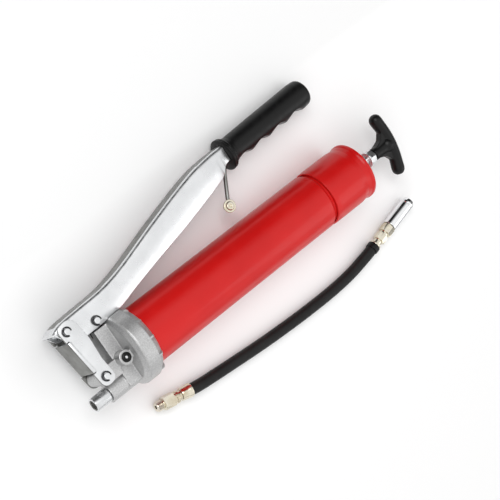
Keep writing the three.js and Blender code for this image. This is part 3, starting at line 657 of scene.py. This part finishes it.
def head():
    """The aluminium casting: collar, pump tower, link lug, outlet boss and bleed boss."""
    collar = lathe("head_body", rounded([
        (-22, 0), (-22, 29.8, 0.6), (-19.4, 34.6, 1), (-17.6, 35.6, 0.8), (-6, 35.6, 1.2),
        (-2.4, 33.2, 1.5), (0, 30.9, 0.6), (0, 28.8), (-16.5, 28.8), (-16.5, 0),
    ]), sides=160)
    tower = prism("tower", rounded([
        (-21, -27), (-21, TOWER_TOP), (-35.6, TOWER_TOP, 1.2), (-35.6, -27),
    ]), -9.4, 9.4)
    half = Vector((0, 0, LUG_HALF))
    lug = rod("lug", HEAD_PIVOT - half, HEAD_PIVOT + half, 7.4)
    arm = block("arm", (HEAD_PIVOT.x, -13.2, -LUG_HALF), (-34, 1.2, LUG_HALF))
    web = block("web", (HEAD_PIVOT.x, OUTLET_Y, -5), (-21, HEAD_PIVOT.y, 5))
    boss = rod("boss", (BOSS_FRONT, OUTLET_Y, 0), (-21, OUTLET_Y, 0), 8.8, sides=64)
    bleed_boss = rod("bleed_boss", BLEED_AT, BLEED_AT + Vector((0, 0, BLEED_TOP)), 6.8, sides=64)
    body = together(collar, tower, lug, arm, web, boss, bleed_boss)
    melt(body, voxel=0.4, rounds=3, keep=0.45)

    x = PLUNGER_PIVOT.x
    wide = 12
    seat = block("seat", (-26, 32.4, -13.3), (2, 41, 13.3))
    faces = [
        block(
            "boss_face", (BOSS_FRONT - 3, OUTLET_Y - wide, -wide),
            (BOSS_FRONT + 0.15, OUTLET_Y + wide, wide),
        ),
        block("tower_face", (x - wide, TOWER_TOP - 0.2, -wide), (-24, TOWER_TOP + 3, wide)),
    ]
    bores = [
        rod("pump_bore", (x, OUTLET_Y, 0), (x, TOWER_TOP + 2, 0), 5.1),
        rod("seal_seat", (x, TOWER_TOP - 5, 0), (x, TOWER_TOP + 2, 0), 7.2),
        rod("outlet_bore", (BOSS_FRONT - 2, OUTLET_Y, 0), (x - 5, OUTLET_Y, 0), 5.2),
        rod("pin_hole", HEAD_PIVOT - Vector((0, 0, 20)), HEAD_PIVOT + Vector((0, 0, 20)), PIN_R + 0.3),
        rod("bleed_hole", BLEED_AT + Vector((0, 0, 10)), BLEED_AT + Vector((0, 0, 24)), 4.3),
    ]
    places = 12
    ribs = [casting_rib(2 * math.pi * i / places) for i in range(1, places)]
    stand_for(together(cut(body, seat, *faces, *bores), *ribs), "head_casting", sharp=32)


def nozzle():
    """The outlet: a turned barrel with a thread in its bore, and the check ball's spring behind it."""
    crest, root, pitch = 4.7, 5.15, 1.1
    thread = []
    for i in range(8):
        x = NOZZLE_TIP + 1.2 + i * pitch
        thread += [(x, crest), (x + 0.45, root), (x + 0.6, root), (x + 1.05, crest)]
    outline = rounded([
        (BOSS_FRONT + 8, 2.2), (BOSS_FRONT + 8, 4.9), (BOSS_FRONT - 0.3, 4.9),
        (BOSS_FRONT - 0.3, NOZZLE_R, 0.3), (NOZZLE_TIP, NOZZLE_R, 0.9), (NOZZLE_TIP, 5.4, 0.1),
        (NOZZLE_TIP + 0.8, crest), *thread, (NOZZLE_TIP + 11, crest), (NOZZLE_TIP + 12.5, 2.2),
    ])
    place = Matrix.Translation((0, OUTLET_Y, 0))

    def in_bore(face):
        """The bore's faces, which take the darker zinc as painted shade."""
        return math.hypot(face.center.y - OUTLET_Y, face.center.z) < 5.2

    stand_for(turned_to(lathe("nozzle", outline, sides=72), place), "outlet_adapter", painted_shade=in_bore)
    spring(
        "check_coil", "check_spring",
        start=BOSS_FRONT + 8.2, end=PLUNGER_PIVOT.x - 12.1, radius=3, wire=0.45, turns=4,
        place=place,
    )


def bleed_valve():
    """The black bleed screw, its pin and its spring, upright in the casting's boss."""
    place = upright(BLEED_AT)
    body = lathe("bleed_screw", rounded([
        (10.3, 2.4), (10.3, 4), (BLEED_TOP - 0.3, 4), (BLEED_TOP - 0.3, 4.7, 0.3),
        (BLEED_TOP + 1, 4.5, 0.8), (BLEED_TOP + 1.5, 2.9, 0.4), (BLEED_TOP + 1.2, 1.9, 0.2),
        (BLEED_TOP - 2.4, 1.9), (BLEED_TOP - 2.4, 2.4),
    ]), sides=48)
    pin = lathe("bleed_pin", rounded([
        (13.3, 0), (13.3, 1), (17, 1), (17, 2.1), (BLEED_TOP - 2.8, 2.1), (BLEED_TOP - 2.8, 1.5),
        (BLEED_TOP + 0.9, 1.5, 0.6), (BLEED_TOP + 0.9, 0),
    ]), sides=40)
    stand_for(turned_to(body, place), "bleed_valve_body")
    stand_for(turned_to(pin, place), "bleed_valve_pin")
    spring(
        "bleed_coil", "bleed_valve_spring",
        start=10.6, end=16.8, radius=1.8, wire=0.25, turns=4, place=place,
    )


# ---------------------------------------------------------------- linkage

def link():
    """The link: a U of sheet steel with rounded bends, relieved at both ends of its web."""
    axis = LEVER_PIVOT - HEAD_PIVOT
    length = axis.length
    side = rounded([
        (-7.6, -7.6, 7.5), (7.9, -7.6, 7.5), (8.2, 14, 8), (12, 34, 8), (12, length + 7.8, 10),
        (-7, length + 7.8, 8), (-7, 44.5, 0.6), (-4, 44.5, 0.6), (-4, 8.8, 0.6), (-7.5, 8.8, 0.6),
    ], 8)
    inside = LINK_HALF - STEEL
    near = bevel(prism("link_plates", side, inside, LINK_HALF), width=0.3)
    far = bevel(prism("far", side, -LINK_HALF, -inside), width=0.3)
    channel = [(-3, LINK_HALF), (-7, LINK_HALF, 2.8), (-7, -LINK_HALF, 2.8), (-3, -LINK_HALF),
               (-3, -inside), (-7 + STEEL, -inside, 0.8), (-7 + STEEL, inside, 0.8), (-3, inside)]
    web = prism("web", rounded(channel, steps=6), -43.5, -9.5)
    turned_to(web, Matrix.Rotation(math.pi / 2, 4, "X"))
    body = together(near, far, bevel(web, width=0.25, segments=2))
    lean = Matrix.Rotation(math.atan2(-axis.x, axis.y), 4, "Z")
    front = lean @ Vector((-1, 0, 0))

    def painted_shade(face):
        """The front of the web and the inside of the far plate, which take the darker zinc as painted
        shade.
        """
        return face.normal.dot(front) > 0.7 or (face.normal.z > 0.7 and face.center.z < 0)

    stand_for(turned_to(body, Matrix.Translation(HEAD_PIVOT) @ lean), "link", painted_shade=painted_shade)


def clevis_pin(name, at, half):
    """A pin with a domed head below and a groove for its retaining ring above."""
    near = half + 2.6
    body = lathe(f"{name}_body", rounded([
        (-half - 1.8, 0), (-half - 1.8, 4.7, 1.1), (-half - 0.3, 4.7, 0.2), (-half - 0.3, PIN_R),
        (half + 0.5, PIN_R), (half + 0.5, 2.2), (half + 1.5, 2.2), (half + 1.5, PIN_R, 0.2),
        (near, PIN_R, 0.7), (near, 0),
    ]), sides=48)
    stand_for(turned_to(body, upright(at)), name)


def retaining_ring(name, at, half):
    """An E-shaped ring: an open arc with three inner teeth that grip the pin's groove."""
    outer, root, tooth, mouth, steps = 4.7, 3.5, 1.25, 0.62, 40
    turns = [mouth + (2 * math.pi - 2 * mouth) * i / steps for i in range(steps + 1)]
    outline = [(outer * math.cos(a), outer * math.sin(a)) for a in turns]
    for a in reversed(turns):
        inner = root - tooth * max(0.0, math.cos(3 * (a - math.pi))) ** 3
        outline.append((inner * math.cos(a), inner * math.sin(a)))
    flat = prism(f"{name}_clip", outline, half + 0.6, half + 1.3)
    body = bevel(flat, width=0.12, segments=2, angle=50)
    turned_to(body, Matrix.Translation(at) @ Matrix.Rotation(-0.9, 4, "Z"))
    stand_for(body, name)


def pins():
    """The linkage's three pins, each with its retaining ring."""
    for name, at, half in (
        ("link_pin", HEAD_PIVOT, LINK_HALF), ("lever_pin", LEVER_PIVOT, LINK_HALF),
        ("plunger_pin", PLUNGER_PIVOT, LEVER_HALF),
    ):
        clevis_pin(name, at, half)
        retaining_ring(f"{name}_ring", at, half)


def plunger():
    """The pump plunger, a round rod under a flat eye with a slot."""
    x, y = PLUNGER_PIVOT.x, PLUNGER_PIVOT.y
    play, steps = 1.5, 12
    body = rod("pump_plunger", (x, -11.5, 0), (x, y - 2, 0), 4.8)

    def slot_shape(radius, half):
        """A flat bar across the pivot, with round ends that are moved out by the play."""
        points = []
        for side in (1, -1):
            middle = x + side * play
            for i in range(steps + 1):
                a = math.pi * (i / steps - 0.5) + (0 if side > 0 else math.pi)
                points.append((middle + radius * math.cos(a), y + radius * math.sin(a)))
        return prism("slot", points, -half, half)

    eye = bevel(slot_shape(radius=6.2, half=4.6), width=0.4)
    slot = slot_shape(radius=PIN_R + 0.5, half=6)
    stand_for(cut(join(body, eye), slot), "plunger")


# ---------------------------------------------------------------- lever and grip

SPINE = [(-69.6, 50.6), (-64, 53.6), (-56, 55.2), (-38.6, 56.2), (-10.5, 57.5), (8.4, 60.4),
         (27.4, 65.1), (72.9, 78.5), (127.8, 92.5), (154.7, 95.9), (172, 96.4)]
LOWER_EDGE = [(-69.6, 50.6), (-62.6, 40.6), (-58.6, 38), (-53.8, 37.4), (-51.2, 33.4), (-47, 31.5),
              (-42, 31.6), (-9, 33), (3, 34.8), (18.5, 38.9), (57, 47.7), (96.5, 56), (146, 68.4),
              (156.5, 71.8), (165, 78.6), (172, 80)]


def height(points, x):
    """The height of an outline at x, along smooth curves between its points."""
    for i in range(len(points) - 1):
        (x0, y0), (x1, y1) = points[i], points[i + 1]
        if x <= x1:
            break
    before = points[max(i - 1, 0)]
    after = points[min(i + 2, len(points) - 1)]
    slope0 = (y1 - before[1]) / (x1 - before[0])
    slope1 = (after[1] - y0) / (after[0] - x0)
    span, t = x1 - x0, (x - x0) / (x1 - x0)
    return (
        (2 * t ** 3 - 3 * t ** 2 + 1) * y0 + (t ** 3 - 2 * t ** 2 + t) * span * slope0
        + (3 * t ** 2 - 2 * t ** 3) * y1 + (t ** 3 - t ** 2) * span * slope1
    )


def quarter_bend(y, z, radius, side, steps=8):
    """A quarter circle of (y, z) points, from one side of the channel up to its top."""
    points = []
    for i in range(steps + 1):
        a = math.pi / 2 * i / steps
        points.append((y + radius * math.sin(a), side * (z + radius * math.cos(a))))
    return points


def lever_section(x):
    """The channel's cross-section at x, a closed list of points with round bends."""
    top = height(SPINE, x)
    low = min(height(LOWER_EDGE, x), top - STEEL - 0.6)
    half = LEVER_HALF + (NECK_HALF - LEVER_HALF) * min(max((x - NARROWING) / NECK_LENGTH, 0), 1)
    bend = min(4.2, top - low - 0.3)
    inner = max(bend - STEEL, 0.3)
    points = []
    for side in (1, -1):
        edge = [(low, side * (half - 0.4)), (low + 0.4, side * half)]
        skin = edge + quarter_bend(top - bend, half - bend, bend, side)
        points += skin if side > 0 else skin[::-1]
    for side in (-1, 1):
        edge = [(low, side * (half - STEEL + 0.4)), (low + 0.3, side * (half - STEEL))]
        skin = edge + quarter_bend(top - STEEL - inner, half - STEEL - inner, inner, side)
        points += skin if side < 0 else skin[::-1]
    return [(x, y, z) for y, z in points]


def lever():
    """The pressed steel channel, closed by a plate where it meets the grip."""
    bm = bmesh.new()
    steps, front, back = 190, SPINE[0][0], SPINE[-1][0]
    stations = [front + (back - front) * i / steps for i in range(steps + 1)]
    loops_to_mesh(bm, [[bm.verts.new(point) for point in lever_section(x)] for x in stations])
    channel = add_object("lever_channel", bm)
    width = NECK_HALF - 1.6
    plate = bevel(block("plate", (back - 2, 80.4, -width), (back, 95.4, width)), width=0.3)
    # the spine's top faces take the darker zinc as a painted dark reflection
    stand_for(together(channel, plate), "lever", sharp=50, painted_shade=lambda face: face.normal.y > 0.95)


def grip():
    """The moulded grip: a flange, and a round body with soft finger hollows underneath."""
    length, slope, start, base = 112.0, 0.045, 172.6, 86.4
    pitch, first, depth, hollows = 23.6, 29.0, 4.0, 4
    underside, sharpness = -13.5, 2.2
    profile = rounded([
        (0, 0), (0, 14.8), (1, 16.2, 0.8), (2.4, 16.2, 0.8), (3, 15.4, 0.6), (3.6, 16, 0.6),
        (5, 15.8, 0.8), (6.2, 14, 1.6), (11, 13, 4), (40, 13.4, 20),
        (length - 10, 13.9, 16), (length, 13.2, 9), (length, 0),
    ], 10)
    fine = []
    for (x0, r0), (x1, r1) in zip(profile, profile[1:]):
        parts = max(1, round(abs(x1 - x0) / 0.8))
        fine += [(x0 + (x1 - x0) * k / parts, r0 + (r1 - r0) * k / parts) for k in range(parts)]
    fine.append(profile[-1])

    def hollowed(x, radius, a):
        """The round section, with its underside raised softly to the floor of a finger hollow."""
        y, z = circle(x, radius, a)
        along = (x - first) / pitch
        if not -1.02 < along < hollows - 0.98:
            return y, z
        dip = depth * (0.5 + 0.5 * math.cos(2 * math.pi * (along + 0.5))) ** 0.5
        floor = underside + dip
        if dip > 0:
            y = floor + math.log1p(math.exp((y - floor) * sharpness)) / sharpness
        return y, z

    body = lathe("grip_moulding", fine, sides=96, section=hollowed)
    place = Matrix.Translation((start, base, 0)) @ Matrix.Rotation(slope, 4, "Z")
    stand_for(turned_to(body, place), "grip")


def catch():
    """The catch rod, bent from wire with a flat eye at each end, and its stepped button."""
    wire = 1.9
    top = CATCH_PIVOT + Vector((1.4, -3.4, 0))
    bend = CATCH_PIVOT + Vector((1.6, -7.5, 0))
    end = CATCH_END + Vector((1.9, 2.9, 0))
    path = curved([top, bend, bend.lerp(end, 0.25), bend.lerp(end, 0.6), end], count=40)
    body = sweep("catch_wire", path, wire)
    thick = Vector((0, 0, wire))
    eyes = [rod("eye", CATCH_PIVOT - thick, CATCH_PIVOT + thick, 4.2),
            rod("eye", CATCH_END - thick, CATCH_END + thick, 4.4)]
    body = melt(together(body, *eyes), voxel=0.25, rounds=3, keep=0.6)
    deep = Vector((0, 0, 5))
    holes = [rod("hole", CATCH_PIVOT - deep, CATCH_PIVOT + deep, 2.1),
             rod("hole", CATCH_END - deep, CATCH_END + deep, 2.6)]
    # the whole rod takes the darker zinc as painted shade
    stand_for(cut(body, *holes), "catch_rod", painted_shade=lambda face: True)

    button = lathe("catch_knob", rounded([
        (-4, 0), (-4, 3.6, 0.5), (-2.2, 3.6, 0.2), (-2.2, 2.3), (2.2, 2.3), (2.2, 6.4, 0.3),
        (3.6, 6.4, 1), (3.4, 4.2, 0.4), (4.8, 3.6, 0.7), (4.8, 1.4, 0.5), (4, 1, 0.3), (4, 0),
    ]), sides=64)
    stand_for(turned_to(button, upright(CATCH_END)), "catch_button")
    half = NECK_HALF + 0.6
    pin = lathe("catch_pivot_pin", rounded([
        (-half, 0), (-half, 1.8, 0.5), (half, 1.8, 0.5), (half, 0),
    ]), sides=32)
    stand_for(turned_to(pin, upright(CATCH_PIVOT)), "catch_pin")


# ---------------------------------------------------------------- hose ends

def hose_fitting():
    """The threaded fitting: stub, hexagon, collar and the tail inside the ferrule."""
    thread = []
    for i in range(5):
        x = 1.0 + i
        thread += [(x, 4.5), (x + 0.45, 5), (x + 0.6, 5)]
    body = lathe("fitting_body", rounded([
        (0, 0), (0, 4.1, 0.2), (0.8, 4.5), *thread, (6.2, 4.4), (8, 4.4), (8, 5.4), (19.6, 5.4),
        (21, 5.4, 0.5), (21.2, 6.1, 0.4), (24.2, 6.1, 0.5), (24.2, 5), (27, 5), (27, 3.2), (38, 3.2),
        (38, 0),
    ]), sides=72)
    body = join(body, hexagon("hexagon", 7.4, 19.5, 6.9))
    bore = rod("bore", (-1, 0, 0), (39, 0, 0), 1.8)
    stand_for(cut(body, bore), "hose_fitting", FITTING)


def hose_ferrule():
    """The crimped ferrule, with the eight flats that the crimping jaws leave."""
    start, end, flats, dent = 27.3, 39.0, 8, 0.28
    profile = rounded([
        (start, 3.5), (start, 5.7, 0.5), (start + 1.8, 6.25, 1), (end - 5, 6.35, 1.5),
        (end - 2.4, 6.9, 0.8), (end, 6.9, 0.5), (end, 3.5),
    ])

    def crimped(x, radius, a):
        """The round section, pressed in at each flat along the ferrule's waist."""
        if 5.9 < radius < 6.45:
            radius -= dent * abs(math.cos(flats / 2 * a)) ** 3
        return circle(x, radius, a)

    stand_for(lathe("ferrule_shell", profile, sides=96, section=crimped), "hose_ferrule", FITTING)


def coupler():
    """The grease coupler's outside: rubber cuff, adaptor with two hexagons, and sleeve."""
    end, adaptor, radius = 62.5, 26.5, 7.3
    cuff = lathe("coupler_cuff", rounded([
        (-5.8, 2), (-5.8, 6.5, 0.5), (-0.3, 6.5, 0.5), (-0.3, 2),
    ]), sides=64)
    stand_for(cuff, "hose_ferrule_coupler", COUPLER)

    body = lathe("adaptor_body", rounded([
        (0, 0), (0, 6, 0.4), (1.8, 6, 0.5), (1.8, 4.4), (7, 4.4), (7, 5), (14.6, 5), (17, 5),
        (adaptor - 0.3, 5), (adaptor + 4, 5, 0.3), (adaptor + 4, 0),
    ]), sides=64)
    body = join(body, hexagon("first", 6.6, 14.6, 6.3), hexagon("second", 17, adaptor - 0.3, 6.9))
    stand_for(cut(body, rod("bore", (-1, 0, 0), (adaptor + 5, 0, 0), 1.8)), "coupler_adaptor", COUPLER)

    sleeve = lathe("coupler_shell", rounded([
        (adaptor, 5.4), (adaptor, radius, 0.5), (end - 7.5, radius, 0.2),
        (end - 7.1, radius - 0.45, 0.2), (end - 6.5, radius - 0.45, 0.2), (end - 6.1, radius, 0.2),
        (end - 4.2, radius, 2), (end - 0.8, radius - 1.4, 1.5), (end, radius - 2.1, 0.3),
        (end, 4.1, 0.3), (end - 2.5, 4.1), (end - 3, 5.4),
    ]), sides=96)
    stand_for(sleeve, "coupler_sleeve", COUPLER)


barrel()
cap()
guide()
follower_rod()
nut()
t_handle()
head()
nozzle()
bleed_valve()
link()
pins()
plunger()
lever()
grip()
catch()
hose_fitting()
hose_ferrule()
coupler()


# ---------------------------------------------------------------- the hose

def hose():
    """The free hose, one smooth curve from its fitting to its coupler."""
    curve = bpy.data.curves.new("hose", "CURVE")
    curve.dimensions = "3D"
    curve.resolution_u = 12
    curve.bevel_depth = HOSE_DIAMETER / 2
    curve.bevel_resolution = 8
    curve.use_fill_caps = True
    spline = curve.splines.new("BEZIER")
    spline.bezier_points.add(len(HOSE_ROUTE) - 1)
    for point, at in zip(spline.bezier_points, HOSE_ROUTE):
        point.co = at
        point.handle_left_type = "AUTO"
        point.handle_right_type = "AUTO"
    obj = bpy.data.objects.new("hose", curve)
    bpy.context.scene.collection.objects.link(obj)
    coat(obj, "black_rubber")
    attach(obj, "hose")
    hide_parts("hose_tube")


hose()


# ---------------------------------------------------------------- bench, light and camera

def bench():
    """A white sheet, flat under the object, that falls away where the lever swings down past it."""
    size, edge, radius, drop, steps = 12.0, 0.0705, 0.03, 0.3, 8
    slope = math.radians(15)
    profile = [(-size, 0)]
    for i in range(steps + 1):
        a = slope * i / steps
        profile.append((edge + radius * math.sin(a), radius * (math.cos(a) - 1)))
    y, z = profile[-1]
    profile += [(y + (drop + z) / math.tan(slope), -drop), (size, -drop)]
    points = [(x, y, z) for y, z in profile for x in (-size, size)]
    faces = [(2 * i, 2 * i + 1, 2 * i + 3, 2 * i + 2) for i in range(len(profile) - 1)]
    mesh = bpy.data.meshes.new("bench")
    mesh.from_pydata(points, [], faces)
    mesh.shade_smooth()
    obj = bpy.data.objects.new("bench", mesh)
    bpy.context.scene.collection.objects.link(obj)
    material, tree, shader = surface("bench", (0.96, 0.96, 0.96), 0.9)
    vary(tree, shader, "Roughness", place_noise(tree, 40), 0.85, 0.95)
    mesh.materials.append(material)


def softbox(name, at, target, size, power):
    """A rectangular area light that points at a target."""
    light = bpy.data.lights.new(name, "AREA")
    light.shape = "RECTANGLE"
    light.size, light.size_y = size
    light.energy = power
    obj = bpy.data.objects.new(name, light)
    obj.location = at
    obj.rotation_euler = (Vector(target) - Vector(at)).to_track_quat("-Z", "Y").to_euler()
    bpy.context.scene.collection.objects.link(obj)


def world():
    """A white surround that darkens low down, more so on the side that the lever points to."""
    made = bpy.data.worlds.new("studio")
    bpy.context.scene.world = made
    made.use_nodes = True
    tree = made.node_tree
    background = tree.nodes["Background"]
    where = tree.nodes.new("ShaderNodeTexCoord")
    above = tree.nodes.new("ShaderNodeVectorMath")
    above.operation = "DOT_PRODUCT"
    above.inputs[1].default_value = (0, -0.34, 0.94)
    ramp = tree.nodes.new("ShaderNodeValToRGB")
    stops = ramp.color_ramp.elements
    stops[0].position, stops[0].color = 0.22, (0.02, 0.02, 0.02, 1)
    stops[1].position, stops[1].color = 0.62, (1, 1, 1, 1)
    tree.links.new(where.outputs["Generated"], above.inputs[0])
    tree.links.new(above.outputs["Value"], ramp.inputs["Fac"])
    tree.links.new(ramp.outputs["Color"], background.inputs["Color"])
    background.inputs["Strength"].default_value = 1.02


def camera():
    """The main view: from the nozzle's side, high above the gun, with the head lowest."""
    distance, look_at = 1.4096, Vector((-0.0257, -0.0136, 0.0884))
    azimuth, elevation, roll = (math.radians(angle) for angle in (147.62, 57.61, 89.3))
    data = bpy.data.cameras.new("camera")
    data.lens = 115.2
    data.sensor_width = 36.0
    obj = bpy.data.objects.new("camera", data)
    out = Vector((
        math.cos(elevation) * math.cos(azimuth),
        math.cos(elevation) * math.sin(azimuth),
        math.sin(elevation),
    ))
    turn = out.to_track_quat("Z", "Y").to_matrix().to_4x4() @ Matrix.Rotation(roll, 4, "Z")
    obj.matrix_world = Matrix.Translation(look_at + distance * out) @ turn
    bpy.context.scene.collection.objects.link(obj)
    bpy.context.scene.camera = obj


bench()
world()
softbox("key", at=(-0.6, 1.3, 2.0), target=(0, 0, 0), size=(1.2, 1.6), power=22)
softbox("fill", at=(1.6, -1.4, 1.6), target=(0, 0, 0), size=(1.2, 1.2), power=4)
camera()
bpy.context.scene.view_settings.view_transform = "Standard"
